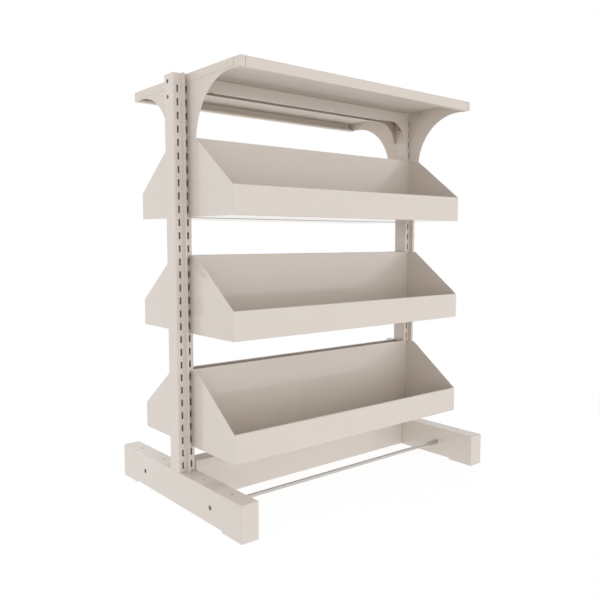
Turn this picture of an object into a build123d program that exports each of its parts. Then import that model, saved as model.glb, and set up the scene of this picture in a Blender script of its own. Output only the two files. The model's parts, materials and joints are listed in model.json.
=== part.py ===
from build123d import *
import os

os.makedirs("parts", exist_ok=True)

# Driving dimensions in millimetres: the bay and its slot grid
pitch = 32.0
post_spacing = 830.0
slot_count = 30
first_slot_rise = 18.0
last_slot_drop = 37.0

# Post section: two channels back to back with their lips turned out
post_width = 46.0
post_depth = 46.0
post_sheet = 2.0
fin_depth = 12.0
root_radius = 1.2
corner_radius = 1.5
slot_height = 17.0
slot_width = 5.0
slot_corner = 0.5
slot_offset = 12.0
side_hole_shift = 6.0
side_hole_top_drop = 17.0
side_hole_step = 37.0
access_hole_dia = 10.5
bolt_hole_dia = 9.0
cap_thickness = 2.0
cap_nut_gap = 0.5
cap_fit = 0.1
web_sheet = 2.0
web_gap = 0.2

# Feet and the spigots that tie the posts to them
foot_overhang = 2.0
foot_height = 89.0
foot_reach = 273.0
foot_sheet = 2.0
foot_radius = 2.5
foot_inner_radius = 0.5
foot_pad_length = 81.0
foot_relief = 5.0
foot_lip = 9.0
foot_hole_near = 76.0
foot_hole_far = 201.0
foot_hole_dia = 6.0
rod_reach = 142.0
rod_access_dia = 13.3
spigot_gap = 0.2
spigot_depth = 24.0
spigot_wall = 2.5
spigot_above = 90.0
spigot_bolt_gap = 10.0

# Levelling glides under the feet ends
glide_inset = 33.0
bridge_height = 28.0
bridge_thickness = 4.0
bridge_length = 44.0
glide_stud_dia = 10.0
glide_fit = 0.05
glide_stud_length = 40.0
glide_pad_gap = 2.5
glide_pad_height = 7.0
glide_pad_chamfer = 1.2
glide_collar_dia = 17.0
glide_collar_height = 6.0

# Crossbeams between the posts
top_beam_height = 32.0
top_beam_sheet = 1.5
beam_radius = 0.5
beam_top_drop = 1.3
beam_lip = 8.0
gusset_radius = 58.0
gusset_foot = 12.0
end_plate = 3.0
end_plate_inset = 1.0
base_beam_low = 6.0
base_beam_rise = 22.0
base_beam_sheet = 1.5
base_beam_lip = 10.0
base_bolt_low = 24.0
base_bolt_step = 24.0

# Hex fasteners
bolt_dia = 8.0
bolt_head_flats = 13.0
bolt_head_height = 5.3
bolt_length = 16.0
nut_height = 6.5
nut_bore_fit = 0.1

# Tie rods between the feet
rod_dia = 10.0
sleeve_dia = 13.0
sleeve_length = 41.0
sleeve_rod_depth = 25.0
rod_fit = 0.1
rod_bolt_fit = 0.2

# Plates of the bins and canopies hang in the inner slot column
plate_thickness = 1.2
plate_shift = 0.1
hang_shift = 1.1
post_gap = 0.4
hook_neck = 7.6
hook_drop = 7.8
hook_throat_gap = 0.4
hook_thickness = 4.0
hook_rest_gap = 0.3
hook_tip_chamfer = 1.5

# Bins
bin_low_slot = 2
bin_bottom_drop = 18.5
bin_tiers = 3
bin_tier_slots = 9
bin_depth = 195.9
bin_top_rise = 15.5
bin_front = 70.5
bin_flat = 33.0
bin_sheet = 1.2
bin_bend = 1.5
bin_front_hem = 5.0
bin_hem_drop = 7.0
bin_back_hem = 8.0
bin_corner_radius = 2.0
bin_hooks = (1, 4, 5)

# Canopies
canopy_depth = 231.5
fascia_height = 25.0
fascia_lip = 18.0
lip_turn = 5.0
canopy_sheet = 1.0
canopy_bend = 1.0
canopy_fold_gap = 0.1
canopy_seam = 0.8
wrap_seam = 1.2
fascia_run = 8.0
strip_height = 20.0
corner_length = 28.0
wrap_width = 13.0
centre_gap = 0.4
post_notch_gap = 0.6
bracket_gap = 0.4
arch_radius = 147.0
arch_centre_inset = 44.5
arch_top_drop = 24.0
bracket_first_hook = 26
canopy_hook_step = 1
screw_near = 49.0
screw_front_inset = 25.5
screw_drop = 9.6
screw_head_dia = 9.0
screw_head_height = 1.3
screw_dome = 0.5
screw_shank_dia = 4.0
screw_hole_dia = 4.2
screw_length = 8.0

# Derived sizes and positions
foot_width = post_width + foot_overhang
first_slot_height = foot_height + first_slot_rise
slot_heights = [first_slot_height + pitch * k for k in range(slot_count)]
total_height = slot_heights[-1] + last_slot_drop
hex_half_width = bolt_head_flats / 3 ** 0.5
cap_skirt = side_hole_top_drop - hex_half_width - cap_nut_gap
glide_pad_dia = foot_width - 2 * foot_sheet - 2 * glide_pad_gap
bin_height = bin_bottom_drop + pitch * bin_hooks[-1] + bin_top_rise
bay_half = post_spacing / 2
outer_half = bay_half + post_width / 2
inner_half = bay_half - post_width / 2
face = post_depth / 2
foot_half = face + foot_reach
glide_half = foot_half - glide_inset
foot_inner = outer_half - foot_width
base_beam_high = foot_height + base_beam_rise
post_tall = total_height - foot_height
plate_outer = bay_half - slot_offset + plate_shift
plate_inner = plate_outer - plate_thickness
strip_outer = plate_outer + canopy_sheet
beam_top = total_height - beam_top_drop
beam_low = beam_top - top_beam_height
side_hole_top = total_height - side_hole_top_drop
canopy_front = face + canopy_depth
bin_front_out = face + bin_depth
ends = ((-1, "left"), (1, "right"))
sides = ((-1, "front"), (1, "back"))


def save(built, name):
    built.part.label = name
    export_step(built.part, "parts/" + name + ".step")


def side_plane(x):
    # Sketch plane square to X, its own x along +Y, its y along +Z
    return Plane(origin=(x, 0, 0), x_dir=(0, 1, 0), z_dir=(1, 0, 0))


def hung(x):
    # Place along X of something hung in the slots: all of it rests over to the right
    return x + hang_shift


# Post halves: lip, slotted face, side wall, slotted face, lip
def post_half(centre, turn, holes_dia):
    lip_end = face + fin_depth
    inner_face = face - post_sheet
    inner_side = post_width / 2 - post_sheet
    with BuildPart() as half:
        with BuildSketch(Plane.XY.offset(foot_height)):
            with BuildLine():
                FilletPolyline(
                    (0, -lip_end), (0, -inner_face), (inner_side, -inner_face),
                    (inner_side, inner_face), (0, inner_face), (0, lip_end),
                    radius=(root_radius + post_sheet, corner_radius, corner_radius,
                            root_radius + post_sheet))
                offset(amount=post_sheet, side=Side.RIGHT)
            make_face()
        extrude(amount=post_tall)
        with BuildSketch(Plane.XZ.offset(-lip_end)):
            with Locations(*[(slot_offset, z) for z in slot_heights]):
                RectangleRounded(slot_width, slot_height, slot_corner)
        extrude(amount=2 * lip_end, mode=Mode.SUBTRACT)
        with BuildSketch(Plane.YZ):
            with Locations(*[(side_hole_shift, side_hole_top - side_hole_step * k)
                             for k in range(2)]):
                Circle(holes_dia / 2)
        extrude(amount=post_width, mode=Mode.SUBTRACT)
        if turn < 0:
            mirror(about=Plane.YZ, mode=Mode.REPLACE)
    half.part = half.part.moved(Location((centre, 0, 0)))
    return half


for end, end_name in ends:
    save(post_half(end * bay_half, end, access_hole_dia), "post_%s_outer_channel" % end_name)
    save(post_half(end * bay_half, -end, bolt_hole_dia), "post_%s_inner_channel" % end_name)

# Caps that close the post tops, let in flush
cap_half_width = post_width / 2 - post_sheet - cap_fit
cap_half_depth = face - post_sheet - cap_fit
for end, end_name in ends:
    with BuildPart() as cap:
        with BuildSketch(Plane.XY.offset(total_height - cap_skirt)):
            with Locations((end * bay_half, 0)):
                Rectangle(2 * cap_half_width, 2 * cap_half_depth)
        extrude(amount=cap_skirt)
        fillet(cap.edges().filter_by(Axis.Z), corner_radius)
        with BuildSketch(Plane.XY.offset(total_height - cap_skirt)):
            with Locations((end * bay_half, 0)):
                Rectangle(2 * (cap_half_width - cap_thickness), 2 * (cap_half_depth - cap_thickness))
        extrude(amount=cap_skirt - cap_thickness, mode=Mode.SUBTRACT)
    save(cap, "post_%s_cap" % end_name)

# Spigots: square tubes standing in the feet and up inside the posts
spigot_low = base_bolt_low + base_bolt_step + spigot_bolt_gap
spigot_high = foot_height + spigot_above
spigot_half_width = post_width / 2 - post_sheet - spigot_gap
spigot_half_depth = spigot_depth / 2
for end, end_name in ends:
    with BuildPart() as spigot:
        with BuildSketch(Plane.XY.offset(spigot_low)):
            with Locations((end * bay_half, 0)):
                RectangleRounded(2 * spigot_half_width, 2 * spigot_half_depth, corner_radius)
                Rectangle(2 * (spigot_half_width - spigot_wall), 2 * (spigot_half_depth - spigot_wall),
                          mode=Mode.SUBTRACT)
        extrude(amount=spigot_high - spigot_low)
    save(spigot, "post_%s_spigot" % end_name)

# Webs that stiffen the posts, welded inside between their front and back faces
web_high = total_height - cap_skirt - web_gap
for end, end_name in ends:
    with BuildPart() as web:
        with BuildSketch(Plane.YZ.offset(end * bay_half - web_sheet / 2)):
            with Locations((0, (spigot_high + web_gap + web_high) / 2)):
                Rectangle(2 * (face - post_sheet - web_gap), web_high - spigot_high - web_gap)
        extrude(amount=web_sheet)
    save(web, "post_%s_web" % end_name)

# Feet: closed-end channels, open below, standing on their end pads
for end, end_name in ends:
    foot_mid = end * (outer_half - foot_width / 2)
    with BuildPart() as foot:
        with BuildSketch(Plane.XY):
            with Locations((foot_mid, 0)):
                Rectangle(foot_width, 2 * foot_half)
        extrude(amount=foot_height)
        fillet(foot.edges().filter_by(Axis.Z), foot_radius)
        fillet(foot.edges().group_by(Axis.Z)[-1], foot_radius - foot_inner_radius)
        with BuildSketch(Plane.XY):
            with Locations((foot_mid, 0)):
                RectangleRounded(foot_width - 2 * foot_sheet, 2 * (foot_half - foot_sheet), foot_inner_radius)
        extrude(amount=foot_height - foot_sheet, mode=Mode.SUBTRACT)
        with BuildSketch(Plane.XY):
            with Locations((foot_mid, 0)):
                Rectangle(foot_width, 2 * (foot_half - foot_pad_length))
        extrude(amount=foot_relief, mode=Mode.SUBTRACT)
        # Stiffening returns along the relieved lower edges
        with BuildSketch(Plane.XY.offset(foot_relief)):
            with Locations((foot_mid - foot_width / 2 + foot_sheet / 2 + foot_lip / 2, 0),
                           (foot_mid + foot_width / 2 - foot_sheet / 2 - foot_lip / 2, 0)):
                Rectangle(foot_lip, 2 * (foot_half - foot_pad_length))
        extrude(amount=foot_sheet)
        with BuildSketch(Plane.XY.offset(foot_height - foot_sheet)):
            with Locations((end * bay_half, 0)):
                RectangleRounded(2 * spigot_half_width, 2 * spigot_half_depth, corner_radius)
            with Locations(*[(foot_mid, s * (face + reach)) for s in (-1, 1)
                             for reach in (foot_hole_near, foot_hole_far)]):
                Circle(foot_hole_dia / 2)
        extrude(amount=foot_sheet, mode=Mode.SUBTRACT)
        # Access holes outside, bolt holes inside
        with BuildSketch(Plane.YZ.offset(foot_mid)):
            with Locations(*[(s * (face + rod_reach), foot_height / 2) for s in (-1, 1)]):
                Circle(rod_access_dia / 2)
        extrude(amount=end * foot_width, mode=Mode.SUBTRACT)
        with BuildSketch(Plane.YZ.offset(foot_mid)):
            with Locations(*[(s * (face + rod_reach), foot_height / 2) for s in (-1, 1)]):
                Circle(bolt_hole_dia / 2)
            with Locations(*[(0, base_bolt_low + base_bolt_step * k) for k in range(2)]):
                Circle(bolt_hole_dia / 2)
        extrude(amount=-end * foot_width, mode=Mode.SUBTRACT)
    save(foot, "foot_%s" % end_name)

# Bridge plates inside the feet ends, threaded for the glides
with BuildPart() as bridges:
    with BuildSketch(Plane.XY.offset(bridge_height)):
        with Locations(*[(end * (outer_half - foot_width / 2), s * glide_half)
                         for end in (-1, 1) for s in (-1, 1)]):
            Rectangle(foot_width - 2 * foot_sheet, bridge_length)
            Circle(glide_stud_dia / 2 + glide_fit, mode=Mode.SUBTRACT)
    extrude(amount=bridge_thickness)
save(bridges, "glide_bridges")

# Levelling glides: threaded stud with a hex collar, and its pad
for end, end_name in ends:
    for s, side_name in sides:
        spot = (end * (outer_half - foot_width / 2), s * glide_half)
        with BuildPart() as pad:
            with BuildSketch(Plane.XY):
                with Locations(spot):
                    Circle(glide_pad_dia / 2)
            extrude(amount=glide_pad_height)
            chamfer(pad.edges().filter_by(GeomType.CIRCLE), glide_pad_chamfer)
        save(pad, "glide_pad_%s_%s" % (end_name, side_name))
        with BuildPart() as stud:
            with BuildSketch(Plane.XY.offset(glide_pad_height)):
                with Locations(spot):
                    RegularPolygon(glide_collar_dia / 2, 6, major_radius=False)
            extrude(amount=glide_collar_height)
            with BuildSketch(Plane.XY.offset(glide_pad_height + glide_collar_height)):
                with Locations(spot):
                    Circle(glide_stud_dia / 2)
            extrude(amount=glide_stud_length)
        save(stud, "glide_stud_%s_%s" % (end_name, side_name))

# Top crossbeam: lipped channel, open below, its flanges sweeping down to end plates
beam_half = inner_half - end_plate
gusset_low = beam_low - gusset_radius
gusset_end = inner_half - gusset_foot
gusset_start = gusset_end - gusset_radius
with BuildPart() as top_beam:
    with BuildSketch(Plane.YZ.offset(-beam_half)):
        with BuildLine():
            FilletPolyline((-face + beam_lip, beam_low), (-face, beam_low), (-face, beam_top),
                           (face, beam_top), (face, beam_low), (face - beam_lip, beam_low),
                           radius=beam_radius + top_beam_sheet)
            offset(amount=top_beam_sheet, side=Side.RIGHT)
        make_face()
    extrude(amount=2 * beam_half)
    # The lips stop where the gussets begin
    with BuildSketch(Plane.XY.offset(beam_low)):
        with Locations(*[(end * (beam_half + gusset_start) / 2, 0) for end in (-1, 1)]):
            Rectangle(beam_half - gusset_start, 2 * (face - top_beam_sheet))
    extrude(amount=top_beam_sheet + beam_radius, mode=Mode.SUBTRACT)
    for end in (-1, 1):
        for s in (-1, 1):
            with BuildSketch(Plane.XZ.offset(-s * face)):
                with BuildLine():
                    Polyline((end * gusset_start, beam_low), (end * gusset_start, beam_top - beam_lip),
                             (end * beam_half, beam_top - beam_lip), (end * beam_half, gusset_low),
                             (end * gusset_end, gusset_low))
                    RadiusArc((end * gusset_end, gusset_low), (end * gusset_start, beam_low),
                              -end * gusset_radius)
                make_face()
            extrude(amount=s * top_beam_sheet)
        with BuildSketch(Plane.YZ.offset(end * beam_half)):
            with Locations((0, (beam_top + gusset_low) / 2)):
                Rectangle(2 * face, beam_top - gusset_low)
            with Locations(*[(side_hole_shift, side_hole_top - side_hole_step * k) for k in range(2)]):
                Circle(bolt_hole_dia / 2, mode=Mode.SUBTRACT)
        extrude(amount=end * end_plate)
save(top_beam, "top_crossbeam")

# Base crossbeam: tall channel, open below, on end plates against the feet
panel_half = foot_inner - end_plate
with BuildPart() as base_beam:
    with BuildSketch(Plane.YZ.offset(-panel_half)):
        with BuildLine():
            FilletPolyline((-face + base_beam_lip, base_beam_low), (-face, base_beam_low),
                           (-face, base_beam_high), (face, base_beam_high), (face, base_beam_low),
                           (face - base_beam_lip, base_beam_low),
                           radius=beam_radius + base_beam_sheet)
            offset(amount=base_beam_sheet, side=Side.RIGHT)
        make_face()
    extrude(amount=2 * panel_half)
    for end in (-1, 1):
        with BuildSketch(Plane.YZ.offset(end * panel_half)):
            with Locations((0, (base_beam_high + base_beam_low) / 2)):
                Rectangle(2 * (face - end_plate_inset), base_beam_high - base_beam_low - 2 * end_plate_inset)
            with Locations(*[(0, base_bolt_low + base_bolt_step * k) for k in range(2)]):
                Circle(bolt_hole_dia / 2, mode=Mode.SUBTRACT)
        extrude(amount=end * end_plate)
save(base_beam, "base_crossbeam")

# Hex bolts and nuts that hold both crossbeams
bolt_spots = [(end, beam_half, side_hole_shift, side_hole_top - side_hole_step * k)
              for end in (-1, 1) for k in range(2)]
bolt_spots += [(end, panel_half, 0, base_bolt_low + base_bolt_step * k)
               for end in (-1, 1) for k in range(2)]
with BuildPart() as bolts:
    for end, seat, y, z in bolt_spots:
        with BuildSketch(Plane.YZ.offset(end * seat)):
            with Locations((y, z)):
                RegularPolygon(bolt_head_flats / 2, 6, major_radius=False)
        extrude(amount=-end * bolt_head_height)
        with BuildSketch(Plane.YZ.offset(end * seat)):
            with Locations((y, z)):
                Circle(bolt_dia / 2)
        extrude(amount=end * bolt_length)
save(bolts, "crossbeam_bolts")
with BuildPart() as nuts:
    for end, seat, y, z in bolt_spots:
        wall = post_sheet if seat == beam_half else foot_sheet
        with BuildSketch(Plane.YZ.offset(end * (seat + end_plate + wall))):
            with Locations((y, z)):
                RegularPolygon(bolt_head_flats / 2, 6, major_radius=False)
                Circle(bolt_dia / 2 + nut_bore_fit, mode=Mode.SUBTRACT)
        extrude(amount=end * nut_height)
save(nuts, "crossbeam_nuts")

# Tie rods, their threaded end sleeves and the bolts inside the feet
rod_half = foot_inner - sleeve_length + sleeve_rod_depth
for s, side_name in sides:
    with BuildPart() as rod:
        with BuildSketch(Plane.YZ.offset(-rod_half)):
            with Locations((s * (face + rod_reach), foot_height / 2)):
                Circle(rod_dia / 2)
        extrude(amount=2 * rod_half)
    save(rod, "tie_rod_%s" % side_name)
rod_spots = [(end, s * (face + rod_reach)) for end in (-1, 1) for s in (-1, 1)]
with BuildPart() as sleeves:
    for end, y in rod_spots:
        with BuildSketch(Plane.YZ.offset(end * foot_inner)):
            with Locations((y, foot_height / 2)):
                Circle(sleeve_dia / 2)
                Circle(bolt_dia / 2 + nut_bore_fit, mode=Mode.SUBTRACT)
        extrude(amount=-end * sleeve_length)
        with BuildSketch(Plane.YZ.offset(end * (foot_inner - sleeve_length))):
            with Locations((y, foot_height / 2)):
                Circle(rod_dia / 2 + rod_fit)
        extrude(amount=end * sleeve_rod_depth, mode=Mode.SUBTRACT)
save(sleeves, "tie_rod_sleeves")
with BuildPart() as rod_bolts:
    for end, y in rod_spots:
        with BuildSketch(Plane.YZ.offset(end * (foot_inner + foot_sheet))):
            with Locations((y, foot_height / 2)):
                RegularPolygon(bolt_head_flats / 2, 6, major_radius=False)
        extrude(amount=end * bolt_head_height)
        with BuildSketch(Plane.YZ.offset(end * (foot_inner + foot_sheet))):
            with Locations((y, foot_height / 2)):
                Circle(bolt_dia / 2)
        extrude(amount=-end * bolt_length)
save(rod_bolts, "tie_rod_bolts")


# A plate's hooks: each neck passes the slot and turns down behind the face
def hook_outline(slot_height_at):
    low = slot_height_at - slot_height / 2 + hook_rest_gap
    back = face - post_sheet - hook_throat_gap
    rear = face + post_gap
    deep = back - hook_thickness
    return [(rear, low + hook_neck), (deep, low + hook_neck), (deep, low - hook_drop + hook_tip_chamfer),
            (deep + hook_tip_chamfer, low - hook_drop), (back, low - hook_drop), (back, low), (rear, low)]


def hooked_rear(low, high, hook_slots):
    # Rear edge from the top down, with the hooks standing out of it
    rear = face + post_gap
    points = [(rear, high)]
    for k in sorted(hook_slots, reverse=True):
        points += hook_outline(slot_heights[k])
    return points + [(rear, low)]


# Bins: a folded trough between two hooked end panels
for tier in range(bin_tiers):
    low_slot = bin_low_slot + tier * bin_tier_slots
    low = slot_heights[low_slot] - bin_bottom_drop
    high = low + bin_height
    hook_slots = [low_slot + k for k in bin_hooks]
    for s, side_name in sides:
        name = "bin_%s_%d" % (side_name, tier + 1)
        rear = face + post_gap
        front_in = bin_front_out - bin_sheet
        with BuildPart() as trough:
            with BuildSketch(side_plane(hung(-plate_outer))):
                with BuildLine():
                    FilletPolyline(
                        (s * (front_in - bin_front_hem), low + bin_front - bin_hem_drop),
                        (s * (front_in - bin_front_hem), low + bin_front - bin_sheet),
                        (s * front_in, low + bin_front - bin_sheet),
                        (s * front_in, low + bin_sheet), (s * (rear + bin_sheet), low + bin_sheet),
                        (s * (rear + bin_sheet), high),
                        radius=bin_bend)
                    offset(amount=bin_sheet, side=Side.RIGHT if s < 0 else Side.LEFT)
                make_face()
            extrude(amount=2 * plate_outer)
            # Only the front runs on over the end panels
            with BuildSketch(Plane.XZ.offset(-s * front_in)):
                with Locations(*[(hung(end * (plate_inner + plate_outer) / 2), (low + high) / 2)
                                 for end in (-1, 1)]):
                    Rectangle(plate_thickness, high - low)
            extrude(amount=s * (front_in - rear), mode=Mode.SUBTRACT)
            # Stiffening fold behind the top of the back, clear of the posts
            with BuildSketch(Plane.XY.offset(high - bin_sheet)):
                with Locations((0, s * (rear + bin_sheet - bin_back_hem / 2))):
                    Rectangle(2 * (inner_half - post_notch_gap), bin_back_hem)
            extrude(amount=bin_sheet)
        save(trough, name + "_trough")
        for end, end_name in ends:
            with BuildPart() as panel:
                with BuildSketch(side_plane(hung(end * plate_inner))) as outline:
                    with BuildLine():
                        rear_points = [(s * y, z) for y, z in hooked_rear(low, high, hook_slots)]
                        Polyline(*rear_points, (s * front_in, low), (s * front_in, low + bin_front),
                                 (s * (face + bin_flat), high), close=True)
                    make_face()
                    fillet(outline.vertices().group_by(Axis.X)[0 if s < 0 else -1].sort_by(Axis.Y)[0],
                           bin_corner_radius - bin_bend / 2)
                extrude(amount=end * plate_thickness)
            save(panel, name + "_end_" + end_name)

# Canopy trays: top sheet, fascia with a return lip, and an end strip at each end
notch_x = inner_half - post_notch_gap
strip_front = canopy_front - corner_length
screw_far = strip_front - face - screw_front_inset
top_low = total_height - canopy_sheet
fascia_half = plate_outer - wrap_width
fascia_end = plate_inner - canopy_fold_gap
notch_y = face + post_notch_gap
run_back = canopy_front - fascia_run
for s, side_name in sides:
    with BuildPart() as tray:
        with BuildSketch(Plane.XY.offset(top_low)):
            with BuildLine():
                Polyline((-notch_x, s * centre_gap), (notch_x, s * centre_gap), (notch_x, s * notch_y),
                         (hung(strip_outer), s * notch_y), (hung(strip_outer), s * strip_front),
                         (hung(fascia_end), s * strip_front), (hung(fascia_end), s * run_back),
                         (hung(-fascia_end), s * run_back), (hung(-fascia_end), s * strip_front),
                         (hung(-strip_outer), s * strip_front), (hung(-strip_outer), s * notch_y),
                         (-notch_x, s * notch_y), close=True)
            make_face()
        extrude(amount=canopy_sheet)
        # Fascia folded down, under and up again
        with BuildSketch(side_plane(hung(-fascia_end))):
            with BuildLine():
                FilletPolyline(
                    (s * run_back, top_low), (s * (canopy_front - canopy_sheet), top_low),
                    (s * (canopy_front - canopy_sheet), total_height - fascia_height + canopy_sheet),
                    (s * (canopy_front - fascia_lip), total_height - fascia_height + canopy_sheet),
                    (s * (canopy_front - fascia_lip), total_height - fascia_height + lip_turn),
                    radius=canopy_bend)
                offset(amount=canopy_sheet, side=Side.RIGHT if s < 0 else Side.LEFT)
            make_face()
        extrude(amount=2 * fascia_end)
        # Room for the brackets' wraps at both ends
        with BuildSketch(Plane.XZ.offset(-s * canopy_front)):
            with Locations(*[(hung(end * (fascia_half + fascia_end) / 2), total_height - fascia_height / 2)
                             for end in (-1, 1)]):
                Rectangle(fascia_end - fascia_half, fascia_height)
        extrude(amount=s * (plate_thickness + canopy_fold_gap), mode=Mode.SUBTRACT)
        for end in (-1, 1):
            with BuildSketch(side_plane(hung(end * plate_outer))):
                with Locations((s * (strip_front + notch_y) / 2, total_height - strip_height / 2)):
                    Rectangle(strip_front - notch_y, strip_height)
                with Locations(*[(s * (face + reach), total_height - screw_drop)
                                 for reach in (screw_near, screw_far)]):
                    Circle(screw_hole_dia / 2, mode=Mode.SUBTRACT)
            extrude(amount=end * canopy_sheet)
    save(tray, "canopy_%s_tray" % side_name)

# Canopy brackets: arched plate, front corner wrapped round, hooks at the rear
bracket_low = high + bracket_gap
bracket_front = strip_front + canopy_seam
arch_y = canopy_front - arch_centre_inset
arch_top = total_height - arch_top_drop
bracket_hooks = list(range(bracket_first_hook, slot_count, canopy_hook_step))
plate_high = top_low - canopy_fold_gap
# The toe follows the top bin's sloping edge down to where it meets the arch
slope_start = face + bin_flat
bin_slope = (bin_height - bin_front) / (front_in - slope_start)
arch_mid = arch_top - arch_radius
toe_level = bracket_low - arch_mid - bin_slope * (arch_y - slope_start)
toe_root = ((1 + bin_slope ** 2) * arch_radius ** 2 - toe_level ** 2) ** 0.5
toe_back = (bin_slope * toe_level - toe_root) / (1 + bin_slope ** 2)
toe_y = arch_y + toe_back
toe_z = arch_mid + toe_level - bin_slope * toe_back
for s, side_name in sides:
    for end, end_name in ends:
        with BuildPart() as bracket:
            with BuildSketch(side_plane(hung(end * plate_inner))):
                with BuildLine():
                    rear_points = [(s * y, z) for y, z in hooked_rear(bracket_low, plate_high, bracket_hooks)]
                    Polyline((s * arch_y, arch_top), (s * bracket_front, arch_top),
                             (s * bracket_front, total_height - fascia_height),
                             (s * canopy_front, total_height - fascia_height),
                             (s * canopy_front, total_height), (s * bracket_front, total_height),
                             (s * bracket_front, plate_high), *rear_points,
                             (s * slope_start, bracket_low), (s * toe_y, toe_z))
                    RadiusArc((s * toe_y, toe_z), (s * arch_y, arch_top), s * arch_radius)
                make_face()
                with Locations(*[(s * (face + reach), total_height - screw_drop)
                                 for reach in (screw_near, screw_far)]):
                    Circle(screw_hole_dia / 2, mode=Mode.SUBTRACT)
            extrude(amount=end * plate_thickness)
            with BuildSketch(Plane.XZ.offset(-s * canopy_front)):
                with Locations((hung(end * (plate_outer - wrap_width / 2 + wrap_seam / 2)),
                                total_height - fascia_height / 2)):
                    Rectangle(wrap_width - wrap_seam, fascia_height)
            extrude(amount=s * plate_thickness)
            corner = bracket.edges().filter_by(Axis.Z).group_by(Axis.Y)[0 if s < 0 else -1]
            fillet(corner.sort_by(Axis.X)[0 if end < 0 else -1], plate_thickness / 2)
        save(bracket, "canopy_%s_bracket_%s" % (side_name, end_name))
    # Low domed screws through strip and bracket
    with BuildPart() as screws:
        for end in (-1, 1):
            for reach in (screw_near, screw_far):
                spot = (s * (face + reach), total_height - screw_drop)
                with BuildSketch(side_plane(hung(end * strip_outer))):
                    with Locations(spot):
                        Circle(screw_head_dia / 2)
                extrude(amount=end * screw_head_height)
                with BuildSketch(side_plane(hung(end * strip_outer))):
                    with Locations(spot):
                        Circle(screw_shank_dia / 2)
                extrude(amount=-end * screw_length)
    save(screws, "canopy_%s_screws" % side_name)
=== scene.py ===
import json
import logging
import math
from collections.abc import Sequence
from dataclasses import dataclass
from enum import Enum

import bmesh
import bpy
from mathutils import Matrix, Vector
from mathutils.bvhtree import BVHTree

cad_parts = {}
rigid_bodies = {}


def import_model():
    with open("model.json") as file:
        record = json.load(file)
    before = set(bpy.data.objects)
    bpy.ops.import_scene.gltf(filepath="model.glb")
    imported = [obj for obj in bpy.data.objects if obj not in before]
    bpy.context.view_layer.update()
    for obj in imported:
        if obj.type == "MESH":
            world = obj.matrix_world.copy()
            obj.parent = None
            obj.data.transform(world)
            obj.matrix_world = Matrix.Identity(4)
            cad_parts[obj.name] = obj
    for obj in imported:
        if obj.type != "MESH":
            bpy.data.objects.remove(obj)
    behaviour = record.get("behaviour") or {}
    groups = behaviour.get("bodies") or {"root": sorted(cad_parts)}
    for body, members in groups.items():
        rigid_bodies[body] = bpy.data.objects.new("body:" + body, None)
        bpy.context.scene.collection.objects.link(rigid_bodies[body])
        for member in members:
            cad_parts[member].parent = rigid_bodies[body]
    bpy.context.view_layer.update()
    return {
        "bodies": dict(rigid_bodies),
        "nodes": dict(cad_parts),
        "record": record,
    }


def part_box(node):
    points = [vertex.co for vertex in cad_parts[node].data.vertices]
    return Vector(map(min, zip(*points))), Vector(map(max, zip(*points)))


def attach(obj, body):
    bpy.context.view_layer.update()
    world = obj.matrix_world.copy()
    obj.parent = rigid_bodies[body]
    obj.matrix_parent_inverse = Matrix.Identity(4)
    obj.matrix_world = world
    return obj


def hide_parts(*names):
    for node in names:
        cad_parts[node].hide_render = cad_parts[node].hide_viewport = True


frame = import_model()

LOG = logging.getLogger("shelving_unit")
MM = 0.001

POST_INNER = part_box("post_right_inner_channel")[0][0]
POST_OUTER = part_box("post_right_outer_channel")[1][0]
FOOT_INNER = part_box("foot_right")[0][0]
BEAM_LOW_END, BEAM_HIGH_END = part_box("top_crossbeam")
PAD_LOW_END, PAD_HIGH_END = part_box("glide_pad_right_back")
ROD_ROW, ROD_RISE = 165.0 * MM, 44.5 * MM
WELD_GAP = 0.001 * MM
HEX_SIDES, ROOT_3 = 6, math.sqrt(3.0)
NOISE_SPAN = (0.3, 0.7)

Rgb = tuple[float, float, float]
Place = tuple[float, float, float]
Box = tuple[Place, Place]
Span = tuple[float, float]
Mesh, Node, Socket = bpy.types.Mesh, bpy.types.Node, bpy.types.NodeSocket


class Slot(Enum):
    """Material slots of the record."""

    FRAME = "frame_paint"
    BIN = "bin_paint"
    CANOPY = "canopy_paint"
    ROD = "chrome_rod"
    ZINC = "zinc_steel"
    CAP = "cap_plastic"
    PAD = "pad_plastic"


class Spelled(Enum):
    """An option that the names of nodes spell out."""

    @property
    def word(self) -> str:
        """The option's name in small letters."""
        return self.name.lower()


class Side(Spelled):
    """Sides of the unit, by the sign of Y."""

    FRONT = -1
    BACK = 1


class End(Spelled):
    """Ends of the unit, by the sign of X."""

    LEFT = -1
    RIGHT = 1


class Facing(Enum):
    """Which way a fastener's head points along X, seen from the bay."""

    INTO_BAY = -1.0
    OUT_OF_BAY = 1.0


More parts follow.
